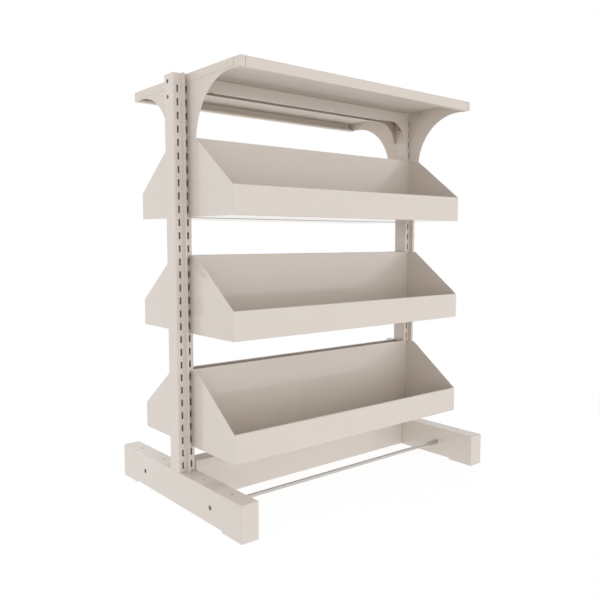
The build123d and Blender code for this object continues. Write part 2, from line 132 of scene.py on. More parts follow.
class NodeBench:
    """Adds and wires the nodes of one node tree."""

    # The Mix node's colour sockets share their names, so they go by number.
    mix_colours: tuple[int, int] = (6, 7)
    mix_result: int = 2

    def __init__(self, tree: bpy.types.NodeTree) -> None:
        """Start on an empty tree.

        Args:
            tree: The node tree to fill.
        """
        self.tree = tree
        self.tree.nodes.clear()

    def add(self, kind: str, **settings: object) -> Node:
        """Add a node and set its properties.

        Args:
            kind: The node's type name.
            **settings: Properties by name.

        Returns:
            The new node.
        """
        node = self.tree.nodes.new(kind)
        for name, value in settings.items():
            setattr(node, name, value)
        return node

    def wire(self, source: Socket, target: Socket) -> None:
        """Link an output to an input."""
        self.tree.links.new(source, target)

    def feed(self, target: Socket, value: object) -> None:
        """Wire a socket to an input, or set the input to a plain value.

        Args:
            target: The input.
            value: A socket, or a value of the input's own kind.
        """
        if isinstance(value, Socket):
            self.wire(value, target)
        else:
            target.default_value = value

    def shape(self, kind: str, **values: object) -> Node:
        """Add a node and feed its inputs.

        Args:
            kind: The node's type name.
            **values: Sockets or plain values by input name, with underscores for spaces.

        Returns:
            The node.
        """
        node = self.add(kind)
        for name, value in values.items():
            self.feed(node.inputs[name.replace("_", " ")], value)
        return node

    def sum(self, operation: str, *values: Socket | float) -> Socket:
        """Add a sum of one to three values.

        Args:
            operation: The Math node's operation.
            *values: Sockets or numbers, in the node's order.

        Returns:
            The result.
        """
        node = self.add("ShaderNodeMath", operation=operation)
        for target, value in zip(node.inputs, values):
            self.feed(target, value)
        return node.outputs[0]

    def noise(self, coordinates: Socket, scale: float, detail: float = 3.0,
              roughness: float = 0.6) -> Socket:
        """Add a noise texture.

        Args:
            coordinates: The socket that feeds its vector.
            scale: Cells per metre.
            detail: Octaves of detail.
            roughness: Strength of the finer octaves.

        Returns:
            The factor output.
        """
        node = self.shape("ShaderNodeTexNoise", Vector=coordinates, Scale=scale, Detail=detail,
                          Roughness=roughness)
        return node.outputs[0]

    def spread(self, value: Socket, span: Span, result: Span = (0.0, 1.0)) -> Socket:
        """Remap a value from one range to another, clamped.

        Args:
            value: The value to remap.
            span: Start and end of the incoming range.
            result: What they become.

        Returns:
            The remapped value.
        """
        node = self.shape("ShaderNodeMapRange", Value=value, From_Min=span[0], From_Max=span[1],
                          To_Min=result[0], To_Max=result[1])
        return node.outputs["Result"]

    def blend(self, factor: Socket, first: Rgb, second: Rgb) -> Socket:
        """Mix two colours by a factor.

        Args:
            factor: Zero gives the first colour and one the second.
            first: Linear colour.
            second: Linear colour.

        Returns:
            The mixed colour.
        """
        node = self.add("ShaderNodeMix", data_type="RGBA")
        for index, colour in zip(self.mix_colours, (first, second)):
            node.inputs[index].default_value = (*colour, 1.0)
        self.wire(factor, node.inputs[0])
        return node.outputs[self.mix_result]

    def mixed(self, factor: Socket, first: Node, second: Node) -> Node:
        """Mix two shaders by a factor.

        Args:
            factor: Zero gives the first shader and one the second.
            first: The first shader.
            second: The second shader.

        Returns:
            The mixing node.
        """
        node = self.add("ShaderNodeMixShader")
        for target, source in zip(node.inputs, (factor, first.outputs[0], second.outputs[0])):
            self.wire(source, target)
        return node


class CoatBench(NodeBench):
    """Builds one material round a Principled shader."""

    def __init__(self, tree: bpy.types.NodeTree) -> None:
        """Start with the shader, its output and the piece's own coordinates.

        Args:
            tree: The material's tree.
        """
        super().__init__(tree)
        self.shader = self.add("ShaderNodeBsdfPrincipled")
        self.shape("ShaderNodeOutputMaterial", Surface=self.shader.outputs[0])
        self.coordinates = self.add("ShaderNodeTexCoord").outputs["Object"]

    def give(self, name: str, value: object) -> None:
        """Feed one of the shader's inputs."""
        self.feed(self.shader.inputs[name], value)

    def raise_relief(self, height: Socket, strength: float, distance: float) -> None:
        """Give the surface a fine relief.

        Args:
            height: The relief's height, from zero to one.
            strength: How much of the relief is used.
            distance: Its full height.
        """
        bump = self.shape("ShaderNodeBump", Strength=strength, Distance=distance, Height=height)
        self.give("Normal", bump.outputs[0])


def scaled(colour: Rgb, factor: float) -> Rgb:
    """Return a colour with each channel multiplied by a factor."""
    return (colour[0] * factor, colour[1] * factor, colour[2] * factor)


class Finish:
    """Base of every finish: makes its Blender material once."""

    name: str

    def material(self) -> bpy.types.Material:
        """Make the material, or return the one made before.

        Returns:
            The node-based material of this finish.
        """
        known = bpy.data.materials.get(self.name)
        if known is not None:
            return known
        made = bpy.data.materials.new(self.name)
        made.use_nodes = True
        self.build(CoatBench(made.node_tree))
        return made

    def build(self, bench: CoatBench) -> None:
        """Wire the finish into the shader.

        Args:
            bench: The bench of the material.
        """
        raise NotImplementedError


@dataclass(frozen=True)
class PowderCoat(Finish):
    """Satin powder coat with a fine orange peel and a faint cloud in its colour."""

    name: str
    colour: Rgb
    roughness: float = 0.1
    gloss: float = 0.75
    ior: float = 1.5
    cloud_scale: float = 7.0
    mottle: float = 0.008
    sheen_scale: float = 38.0
    sheen_drift: float = 0.012
    peel_scale: float = 420.0
    peel_height: float = 0.02 * MM
    peel_strength: float = 0.6

    def build(self, bench: CoatBench) -> None:
        """Wire colour, sheen and orange peel.

        Args:
            bench: The bench of the material.
        """
        bench.give("IOR", self.ior)
        bench.give("Specular IOR Level", self.gloss)
        cloud = bench.noise(bench.coordinates, self.cloud_scale, roughness=0.55)
        bench.give("Base Color", bench.blend(bench.spread(cloud, NOISE_SPAN),
                                             scaled(self.colour, 1.0 - self.mottle),
                                             scaled(self.colour, 1.0 + self.mottle)))
        sheen = bench.noise(bench.coordinates, self.sheen_scale)
        drift = self.roughness - self.sheen_drift, self.roughness + self.sheen_drift
        bench.give("Roughness", bench.spread(sheen, NOISE_SPAN, drift))
        peel = bench.noise(bench.coordinates, self.peel_scale, detail=2.0, roughness=0.45)
        bench.raise_relief(peel, self.peel_strength, self.peel_height)


@dataclass(frozen=True)
class BrightSteel(Finish):
    """Plated or polished steel with fine drawing lines along one axis."""

    name: str
    colour: Rgb
    roughness: float
    line_stretch: Place
    line_height: float = 0.004 * MM
    line_strength: float = 0.5
    line_sheen: Span = (0.75, 1.3)
    tarnish: float = 0.06
    tarnish_scale: float = 55.0
    tarnish_span: Span = (0.35, 0.7)

    def build(self, bench: CoatBench) -> None:
        """Wire the metal's colour, drawing lines and faint tarnish.

        Args:
            bench: The bench of the material.
        """
        bench.give("Metallic", 1.0)
        cloud = bench.noise(bench.coordinates, self.tarnish_scale, detail=4.0)
        bench.give("Base Color", bench.blend(bench.spread(cloud, self.tarnish_span),
                                             scaled(self.colour, 1.0 - self.tarnish), self.colour))
        drawn = bench.shape("ShaderNodeMapping", Vector=bench.coordinates, Scale=self.line_stretch)
        lines = bench.noise(drawn.outputs[0], 1.0)
        sheen = self.roughness * self.line_sheen[0], self.roughness * self.line_sheen[1]
        bench.give("Roughness", bench.spread(lines, NOISE_SPAN, sheen))
        bench.raise_relief(lines, self.line_strength, self.line_height)


@dataclass(frozen=True)
class MouldedPlastic(Finish):
    """Moulded plastic with a fine spark-eroded grain."""

    name: str
    colour: Rgb
    roughness: float = 0.55
    ior: float = 1.46
    cloud_scale: float = 90.0
    mottle: Span = (0.94, 1.04)
    sheen_drift: float = 0.05
    grain_scale: float = 1500.0
    grain_height: float = 0.03 * MM
    grain_strength: float = 0.5

    def build(self, bench: CoatBench) -> None:
        """Wire the plastic's colour and grain.

        Args:
            bench: The bench of the material.
        """
        bench.give("IOR", self.ior)
        cloud = bench.noise(bench.coordinates, self.cloud_scale)
        low, high = (scaled(self.colour, share) for share in self.mottle)
        bench.give("Base Color", bench.blend(bench.spread(cloud, NOISE_SPAN), low, high))
        drift = self.roughness - self.sheen_drift, self.roughness + self.sheen_drift
        bench.give("Roughness", bench.spread(cloud, NOISE_SPAN, drift))
        grain = bench.noise(bench.coordinates, self.grain_scale, detail=2.0)
        bench.raise_relief(grain, self.grain_strength, self.grain_height)


WHITE: Rgb = (1.0, 1.0, 1.0)
GREIGE: Rgb = (0.716, 0.648, 0.586)
# Painted light: a paler, warmer tone for faces in the shaded hollows, standing in for light there.
HOLLOW_PAINTED_LIGHT_TONE: Rgb = (0.900, 0.715, 0.570)
# Painted shade: a darker, warmer tone for the shaded inside of the top crossbeam.
BEAM_PAINTED_SHADE_TONE: Rgb = (0.600, 0.505, 0.425)
BARE_STEEL: Rgb = (0.60, 0.58, 0.56)

FRAME_COAT = PowderCoat("frame_powder_coat", GREIGE)
# Matte as a thin coat inside; its paler, warmer colour is painted light in the shaded hollows.
THIN_COAT_AND_PAINTED_LIGHT = PowderCoat("thin_inside_coat", HOLLOW_PAINTED_LIGHT_TONE, roughness=0.6, gloss=0.1)
# Its darker colour is painted shade inside the top crossbeam and between its gussets.
BEAM_PAINTED_SHADE_COAT = PowderCoat("beam_painted_shade_inside", BEAM_PAINTED_SHADE_TONE, roughness=0.6, gloss=0.1)
BIN_COAT = PowderCoat("bin_powder_coat", GREIGE, peel_scale=460.0)
CANOPY_COAT = PowderCoat("canopy_powder_coat", GREIGE, roughness=0.5, gloss=0.15, peel_scale=440.0)
ROD_STEEL = BrightSteel("drawn_rod_steel", BARE_STEEL, 0.2, (18.0, 1600.0, 1600.0))
SLEEVE_STEEL = BrightSteel("turned_sleeve_steel", BARE_STEEL, 0.30, (900.0, 60.0, 60.0))
ZINC = BrightSteel("bright_zinc_plate", (0.66, 0.65, 0.63), 0.34, (700.0, 700.0, 700.0))
CAP_PLASTIC = MouldedPlastic("paint_matched_cap_plastic", scaled(GREIGE, 0.97))
PAD_PLASTIC = MouldedPlastic("black_pad_plastic", (0.02, 0.02, 0.021))

SLOT_FINISH: dict[Slot, Finish] = {
    Slot.FRAME: FRAME_COAT, Slot.BIN: BIN_COAT, Slot.CANOPY: CANOPY_COAT, Slot.ROD: ROD_STEEL,
    Slot.ZINC: ZINC, Slot.CAP: CAP_PLASTIC, Slot.PAD: PAD_PLASTIC}


def body_of(node: str) -> str:
    """Return the name of the body that a CAD node rides on."""
    parent = frame["nodes"][node].parent
    return next(name for name, empty in frame["bodies"].items() if empty == parent)


def stood(name: str, data: bpy.types.ID) -> bpy.types.Object:
    """Make an object and link it to the scene.

    Args:
        name: The object's name.
        data: Its mesh, lamp or camera.

    Returns:
        The object, at the origin.
    """
    made = bpy.data.objects.new(name, data)
    bpy.context.scene.collection.objects.link(made)
    return made


def applied(stand: bpy.types.Object) -> Mesh:
    """Return an object's mesh as its modifiers leave it."""
    return bpy.data.meshes.new_from_object(
        stand.evaluated_get(bpy.context.evaluated_depsgraph_get()))


def shaded(mesh: Mesh, angle: float = math.radians(34.0)) -> Mesh:
    """Shade a mesh smooth, with edges over an angle kept sharp.

    Args:
        mesh: The mesh to shade.
        angle: The sharpest turn that still looks smooth.

    Returns:
        The same mesh.
    """
    mesh.polygons.foreach_set("use_smooth", [True] * len(mesh.polygons))
    mesh.set_sharp_from_angle(angle=angle)
    return mesh


def fit_piece(name: str, mesh: Mesh, finish: Finish,
              nodes: Sequence[str]) -> bpy.types.Object:
    """Put a finished mesh in the scene in place of CAD nodes.

    Args:
        name: The piece's name.
        mesh: Its mesh, in the unit's own place.
        finish: Its finish.
        nodes: The CAD nodes it stands for, all on one body.

    Returns:
        The piece, riding on the nodes' body.
    """
    mesh.materials.clear()
    mesh.materials.append(finish.material())
    piece = stood(name, mesh)
    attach(piece, body_of(nodes[0]))
    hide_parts(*nodes)
    LOG.info("%s: %d faces, %s", name, len(mesh.polygons), finish.name)
    return piece


class GeometryBench(NodeBench):
    """Builds one Geometry Nodes tree with named inputs and grows a mesh from it."""

    def __init__(self, name: str) -> None:
        """Start a tree with a geometry input and output.

        Args:
            name: The tree's name.
        """
        super().__init__(bpy.data.node_groups.new(name, "GeometryNodeTree"))
        for entry, way in (("Seats", "INPUT"), ("Geometry", "OUTPUT")):
            self.tree.interface.new_socket(entry, in_out=way, socket_type="NodeSocketGeometry")
        self.entry = self.add("NodeGroupInput")
        self.seats = self.entry.outputs["Seats"]
        self.values: dict[str, float | int] = {}

    def size(self, name: str, value: float | int) -> Socket:
        """Add a named input.

        Args:
            name: The input's name.
            value: Its value, a whole number for a count.

        Returns:
            The input as a socket to wire from.
        """
        kind = "NodeSocketInt" if isinstance(value, int) else "NodeSocketFloat"
        entry = self.tree.interface.new_socket(name, in_out="INPUT", socket_type=kind)
        self.values[entry.identifier] = value
        return self.entry.outputs[name]

    def half(self, value: Socket) -> Socket:
        """Halve a value."""
        return self.sum("MULTIPLY", value, 0.5)

    def twice(self, value: Socket) -> Socket:
        """Double a value."""
        return self.sum("MULTIPLY", value, 2.0)

    def bar(self, sides: int, radius: Socket, depth: Socket | float) -> Socket:
        """Make a closed bar of many sides round its own middle.

        Args:
            sides: Sides of its outline.
            radius: Radius at its corners.
            depth: Its length along Z.

        Returns:
            The bar.
        """
        node = self.shape("GeometryNodeMeshCylinder", Vertices=sides, Radius=radius, Depth=depth)
        return node.outputs["Mesh"]

    def hex_bar(self, flats: Socket, depth: Socket) -> Socket:
        """Make a hexagonal bar from its width across the flats."""
        return self.bar(HEX_SIDES, self.sum("DIVIDE", flats, ROOT_3), depth)

    def cone(self, sides: int, bottom: Socket, top: Socket, depth: Socket) -> Socket:
        """Make a closed cone that stands on its base.

        Args:
            sides: Sides of its outline.
            bottom: Radius of its base.
            top: Radius of its top.
            depth: Its height.

        Returns:
            The cone.
        """
        node = self.shape("GeometryNodeMeshCone", Vertices=sides, Radius_Top=top,
                          Radius_Bottom=bottom, Depth=depth)
        return node.outputs["Mesh"]

    def along(self, axis: str, value: Socket) -> Socket:
        """Make a vector along one axis."""
        return self.shape("ShaderNodeCombineXYZ", **{axis: value}).outputs[0]

    def lifted(self, geometry: Socket, rise: Socket) -> Socket:
        """Raise a geometry along Z."""
        node = self.shape("GeometryNodeTransform", Geometry=geometry,
                          Translation=self.along("Z", rise))
        return node.outputs[0]

    def shank(self, sides: int, dia: float, length: float) -> Socket:
        """Make a fastener's plain shank, which hangs below its seat.

        Args:
            sides: Sides of its outline.
            dia: Its diameter.
            length: Its length.

        Returns:
            The shank.
        """
        radius = self.half(self.size("Shank Diameter", dia))
        long = self.size("Shank Length", length)
        return self.lifted(self.bar(sides, radius, long), self.sum("MULTIPLY", long, -0.5))

    def cut(self, operation: str, first: Socket, second: Socket) -> Socket:
        """Intersect two closed meshes, or take the second from the first.

        Args:
            operation: INTERSECT or DIFFERENCE.
            first: The first mesh.
            second: The second mesh.

        Returns:
            The resulting mesh.
        """
        node = self.add("GeometryNodeMeshBoolean", operation=operation, solver="EXACT")
        self.wire(first, node.inputs["Mesh 1" if operation == "DIFFERENCE" else "Mesh 2"])
        self.wire(second, node.inputs["Mesh 2"])
        return node.outputs[0]

    def joined(self, *parts: Socket) -> Socket:
        """Join several geometries into one.

        Args:
            *parts: The geometries.

        Returns:
            All of them as one.
        """
        node = self.add("GeometryNodeJoinGeometry")
        for part in parts:
            self.wire(part, node.inputs[0])
        return node.outputs[0]

    def set_out(self, geometry: Socket, facing: Facing) -> Socket:
        """Stand a geometry on every seat, its Z along X and away from or into the bay.

        Args:
            geometry: What is repeated.
            facing: Which way its Z points.

        Returns:
            The instances.
        """
        place = self.add("GeometryNodeInputPosition").outputs[0]
        parts = self.shape("ShaderNodeSeparateXYZ", Vector=place)
        aim = self.sum("MULTIPLY", self.sum("SIGN", parts.outputs["X"]), facing.value)
        turn = self.shape("FunctionNodeAlignRotationToVector", Vector=self.along("X", aim))
        turn.axis = "Z"
        node = self.shape("GeometryNodeInstanceOnPoints", Points=self.seats, Instance=geometry,
                          Rotation=turn.outputs[0])
        return node.outputs[0]

    def grow(self, geometry: Socket, finish: Finish,
             seats: Sequence[Place] = ((0.0, 0.0, 0.0),)) -> Mesh:
        """Close the tree, run it on a set of seats and take the mesh.

        Args:
            geometry: The last geometry of the tree.
            finish: The finish that Set Material gives.
            seats: The points that the tree starts from.

        Returns:
            The evaluated mesh, with nothing live left on it.
        """
        real = self.shape("GeometryNodeRealizeInstances", Geometry=geometry)
        coat = self.shape("GeometryNodeSetMaterial", Geometry=real.outputs[0],
                          Material=finish.material())
        self.wire(coat.outputs[0], self.add("NodeGroupOutput").inputs[0])
        mesh = bpy.data.meshes.new(self.tree.name)
        mesh.from_pydata(seats, [], [])
        stand = stood(self.tree.name, mesh)
        growth = stand.modifiers.new(self.tree.name, "NODES")
        growth.node_group = self.tree
        for identifier, value in self.values.items():
            growth[identifier] = value
        grown = applied(stand)
        stand.modifiers.remove(growth)
        bpy.data.objects.remove(stand)
        return shaded(grown)


@dataclass
class SheetWork:
    """Folded and punched sheet pieces, their cut edges rolled over a little."""

    nodes: tuple[str, ...]
    finish: Finish
    slot: Slot
    roll: float = 0.25 * MM
    roll_steps: int = 2
    sliver: float = WELD_GAP / 10
    flat_angle: float = math.radians(0.5)
    cut_angle: float = math.radians(28.0)
    spare_reach: float = 0.9 * MM
    overhang: float = WELD_GAP * 20
    rounds: int = 7
    # The hollows' finish: its colour is painted light in the posts and painted shade in the
    # crossbeam.
    inside: Finish = THIN_COAT_AND_PAINTED_LIGHT
    hollows: tuple[Box, ...] = ()

    def joined(self, node: str) -> Mesh:
        """Copy a node's mesh with its triangles joined into whole faces.

        Args:
            node: The CAD node.

        Returns:
            A closed mesh.
        """
        mesh = frame["nodes"][node].data.copy()
        work = bmesh.new()
        work.from_mesh(mesh)
        bmesh.ops.remove_doubles(work, verts=work.verts, dist=WELD_GAP)
        bmesh.ops.dissolve_degenerate(work, dist=self.sliver, edges=work.edges)
        bmesh.ops.dissolve_limit(work, angle_limit=self.flat_angle, verts=work.verts,
                                 edges=work.edges)
        work.to_mesh(mesh)
        work.free()
        return mesh

    def weigh(self, mesh: Mesh, spared: Sequence[Vector]) -> None:
        """Mark the cut edges to roll, other than those beside a spared place.

        Args:
            mesh: The mesh to mark.
            spared: Places where a rolled edge would cross its neighbour.
        """
        work = bmesh.new()
        work.from_mesh(mesh)
        layers = work.edges.layers.float
        layer = layers.get("bevel_weight_edge") or layers.new("bevel_weight_edge")
        for edge in work.edges:
            clear = all(min((vert.co - place).length for vert in edge.verts) > self.spare_reach
                        for place in spared)
            edge[layer] = 1.0 if clear and edge.calc_face_angle(0.0) > self.cut_angle else 0.0
        work.to_mesh(mesh)
        work.free()

    def crossings(self, mesh: Mesh, low: Vector, high: Vector) -> list[Vector]:
        """Find where rolled edges cross each other or leave the piece.

        Args:
            mesh: The rolled mesh.
            low: Lowest corner of the sheet.
            high: Highest corner of the sheet.

        Returns:
            The places, without near repeats.
        """
        work = bmesh.new()
        work.from_mesh(mesh)
        bmesh.ops.triangulate(work, faces=work.faces)
        work.faces.ensure_lookup_table()
        found = [vert.co.copy() for vert in work.verts
                 if any(vert.co[axis] < low[axis] - self.overhang
                        or vert.co[axis] > high[axis] + self.overhang for axis in range(3))]
        tree = BVHTree.FromBMesh(work)
        for first, second in tree.overlap(tree):
            if first < second:
                pair = work.faces[first], work.faces[second]
                if not set(pair[0].verts) & set(pair[1].verts):
                    found.append(min(pair, key=lambda face: face.calc_area()).calc_center_median())
        work.free()
        places: list[Vector] = []
        for place in found:
            if all((place - kept).length > self.spare_reach / 2 for kept in places):
                places.append(place)
        return places

    def rolled(self, node: str) -> Mesh:
        """Roll a node's cut edges, leaving sharp those that would cross.

        Args:
            node: The CAD node.

        Returns:
            The finished mesh.
        """
        flat = self.joined(node)
        low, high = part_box(node)
        stand = stood(node + "_blank", flat)
        spared: list[Vector] = []
        for _ in range(self.rounds):
            self.weigh(flat, spared)
            bevel = stand.modifiers.new("edge_roll", "BEVEL")
            bevel.limit_method = "WEIGHT"
            bevel.width = self.roll
            bevel.segments = self.roll_steps
            bevel.use_clamp_overlap = False
            bevel.loop_slide = False
            bevel.harden_normals = True
            rolled = applied(stand)
            stand.modifiers.remove(bevel)
            found = self.crossings(rolled, low, high)
            if not found:
                break
            spared += found
        else:
            rolled = flat.copy()
        LOG.info("%s: %d places left sharp", node, len(spared))
        bpy.data.objects.remove(stand)
        return rolled

    def paint_hollow_light_and_shade(self, mesh: Mesh) -> None:
        """Give the faces inside the piece's hollows the inside finish, whose colour is painted
        light in the posts and painted shade in the crossbeam.

        Args:
            mesh: The finished mesh, with its outer finish on it.
        """
        if not self.hollows:
            return
        mesh.materials.append(self.inside.material())
        # Faces in the hollows take the painted light or painted shade of the inside finish.
        for face in mesh.polygons:
            if any(all(low[axis] < face.center[axis] < high[axis] for axis in range(3))
                   for low, high in self.hollows):
                face.material_index = 1

    def build(self) -> None:
        """Make and fit every sheet piece."""
        for node in self.nodes:
            piece = fit_piece(node + "_sheet", self.rolled(node), self.finish, (node,))
            self.paint_hollow_light_and_shade(piece.data)


@dataclass
class Hollows:
    """Insides of the posts and the top crossbeam, as boxes just within their walls; faces in them
    get painted light in the posts and painted shade in the crossbeam.
    """

    post_wall: float = 1.7 * MM
    post_depth: float = 21.3 * MM
    post_over: float = 2.0 * MM
    beam_sheet: float = 1.2 * MM
    beam_depth: float = 21.8 * MM
    end_plate: float = 4.0 * MM
    lip_drop: float = 32.0 * MM

    def posts(self) -> tuple[Box, ...]:
        """List the hollows of the two posts.

        Returns:
            A box for the right post and one for the left.
        """
        depth, top = self.post_depth, BEAM_HIGH_END[2] + self.post_over
        near, far = POST_INNER + self.post_wall, POST_OUTER - self.post_wall
        return ((near, -depth, 0.0), (far, depth, top)), ((-far, -depth, 0.0), (-near, depth, top))

    def beam(self) -> tuple[Box, ...]:
        """List the hollow in the top crossbeam and the space between its gussets.

        Returns:
            A box for the channel and one for the gussets.
        """
        depth, long = self.beam_depth, BEAM_HIGH_END[0] - self.end_plate
        top, lips = BEAM_HIGH_END[2], BEAM_HIGH_END[2] - self.lip_drop
        channel = (-long, -depth, lips + self.beam_sheet), (long, depth, top - self.beam_sheet)
        gussets = (-long, -depth, BEAM_LOW_END[2]), (long, depth, lips - self.beam_sheet)
        return channel, gussets


@dataclass
class CrossbeamBolts:
    """Hex bolts and nuts that hold the crossbeams, and the bolts of the tie rods."""

    flats: float = 13.0 * MM
    head: float = 5.3 * MM
    nut: float = 6.5 * MM
    washer_face: float = 0.4 * MM
    chamfer_share: float = 0.94
    shank: float = 8.0 * MM
    length: float = 16.0 * MM
    bore_fit: float = 0.1 * MM
    end_plate: float = 3.0 * MM
    foot_sheet: float = 2.0 * MM
    joint: float = 5.0 * MM
    shift: float = 6.0 * MM
    beam_rows: Span = (1055.0 * MM, 1018.0 * MM)
    panel_rows: Span = (24.0 * MM, 48.0 * MM)
    turned_sides: int = 36
    shank_sides: int = 28

    def hexagon(self, bench: GeometryBench, height: float) -> Socket:
        """Make a hexagon with a turned washer face below and a chamfer above.

        Args:
            bench: The bench of the tree.
            height: Height of the hexagon.

        Returns:
            The hexagon standing on its seat.
        """
        flats = bench.size("Across Flats", self.flats)
        tall = bench.size("Height", height)
        face = bench.size("Washer Face", self.washer_face)
        share = bench.size("Chamfer Share", self.chamfer_share)
        prism = bench.lifted(bench.hex_bar(flats, bench.sum("SUBTRACT", tall, face)),
                             bench.half(bench.sum("ADD", tall, face)))
        top = bench.sum("MULTIPLY", bench.half(flats), share)
        bottom = bench.sum("MULTIPLY_ADD", tall, ROOT_3, top)
        chamfer = bench.cone(self.turned_sides, bottom, top, tall)
        washer = bench.lifted(bench.bar(self.turned_sides, top, face), bench.half(face))
        return bench.joined(bench.cut("INTERSECT", prism, chamfer), washer)

    def bolts(self, name: str, nodes: Sequence[str], seats: Sequence[Place], facing: Facing,
              slot: Slot) -> None:
        """Fit a set of hex bolts.

        Args:
            name: The piece's name.
            nodes: The CAD nodes it stands for.
            seats: Places of the heads' seats.
            facing: Which way the heads point.
            slot: The record slot of the bolts.
        """
        finish = SLOT_FINISH[slot]
        bench = GeometryBench(name)
        head = self.hexagon(bench, self.head)
        shank = bench.shank(self.shank_sides, self.shank, self.length)
        mesh = bench.grow(bench.set_out(bench.joined(head, shank), facing), finish, seats)
        fit_piece(name, mesh, finish, nodes)

    def nuts(self) -> None:
        """Make and fit the hex nuts behind the crossbeams' bolts."""
        bench = GeometryBench("crossbeam_hex_nuts")
        solid = self.hexagon(bench, self.nut)
        bore = bench.sum("ADD", bench.half(bench.size("Thread Diameter", self.shank)),
                         bench.size("Thread Fit", self.bore_fit))
        nut = bench.cut("DIFFERENCE", solid, bench.bar(self.shank_sides, bore, self.length * 2))
        mesh = bench.grow(bench.set_out(nut, Facing.OUT_OF_BAY), ZINC, self.seats(self.joint))
        fit_piece("crossbeam_hex_nuts", mesh, ZINC, ("crossbeam_nuts",))

    def seats(self, ahead: float) -> list[Place]:
        """List the seats of the crossbeams' fasteners.

        Args:
            ahead: How far past the end plates' inner faces the seats are.

        Returns:
            The seats of the top beam and the base beam.
        """
        beam_end = POST_INNER - self.end_plate + ahead
        panel_end = FOOT_INNER - self.end_plate + ahead
        spots = [(end.value * beam_end, self.shift, z) for end in End for z in self.beam_rows]
        return spots + [(end.value * panel_end, 0.0, z) for end in End for z in self.panel_rows]

    def build(self) -> None:
        """Make and fit the bolts and nuts."""
        self.bolts("crossbeam_hex_bolts", ("crossbeam_bolts",), self.seats(0.0), Facing.INTO_BAY,
                   Slot.FRAME)
        self.nuts()
        rods = [(end.value * (FOOT_INNER + self.foot_sheet), side.value * ROD_ROW, ROD_RISE)
                for end in End for side in Side]
        self.bolts("tie_rod_hex_bolts", ("tie_rod_bolts",), rods, Facing.OUT_OF_BAY, Slot.ZINC)


@dataclass
class CanopyScrews:
    """Low domed socket screws through the canopies' end strips."""

    head_dia: float = 9.0 * MM
    dome: float = 1.3 * MM
    socket: float = 3.0 * MM
    socket_depth: float = 0.8 * MM
    shank: float = 4.0 * MM
    length: float = 8.0 * MM
    strip_left: float = -403.0 * MM
    strip_right: float = 405.2 * MM
    rows: Span = (72.0 * MM, 201.0 * MM)
    height: float = 1062.4 * MM
    dome_sides: int = 64
    dome_rings: int = 96
    rim_sides: int = 40
    shank_sides: int = 20

    def screw(self, bench: GeometryBench) -> Socket:
        """Make one screw: a dome with a hex socket, and its shank.

        Args:
            bench: The bench of the tree.

        Returns:
            The screw, its head standing on the seat.
        """
        radius = bench.half(bench.size("Head Diameter", self.head_dia))
        rise = bench.size("Dome Height", self.dome)
        squares = bench.sum("ADD", bench.sum("POWER", radius, 2.0), bench.sum("POWER", rise, 2.0))
        ball = bench.sum("DIVIDE", squares, bench.twice(rise))
        sphere = bench.shape("GeometryNodeMeshUVSphere", Segments=self.dome_sides,
                             Rings=self.dome_rings, Radius=ball)
        crown = bench.lifted(sphere.outputs["Mesh"], bench.sum("SUBTRACT", rise, ball))
        blank = bench.lifted(bench.bar(self.rim_sides, radius, bench.twice(rise)), rise)
        head = bench.cut("INTERSECT", crown, blank)
        key = bench.hex_bar(bench.size("Socket Flats", self.socket),
                            bench.twice(bench.size("Socket Depth", self.socket_depth)))
        drive = bench.cut("DIFFERENCE", head, bench.lifted(key, rise))
        return bench.joined(drive, bench.shank(self.shank_sides, self.shank, self.length))

    def build(self) -> None:
        """Make and fit the screws of both canopies."""
        for side in Side:
            bench = GeometryBench("dome_screws_" + side.word)
            seats = [(x, side.value * y, self.height)
                     for x in (self.strip_left, self.strip_right) for y in self.rows]
            screws = bench.set_out(self.screw(bench), Facing.OUT_OF_BAY)
            mesh = bench.grow(screws, CANOPY_COAT, seats)
            fit_piece("canopy_%s_dome_screws" % side.word, mesh, CANOPY_COAT,
                      ("canopy_%s_screws" % side.word,))


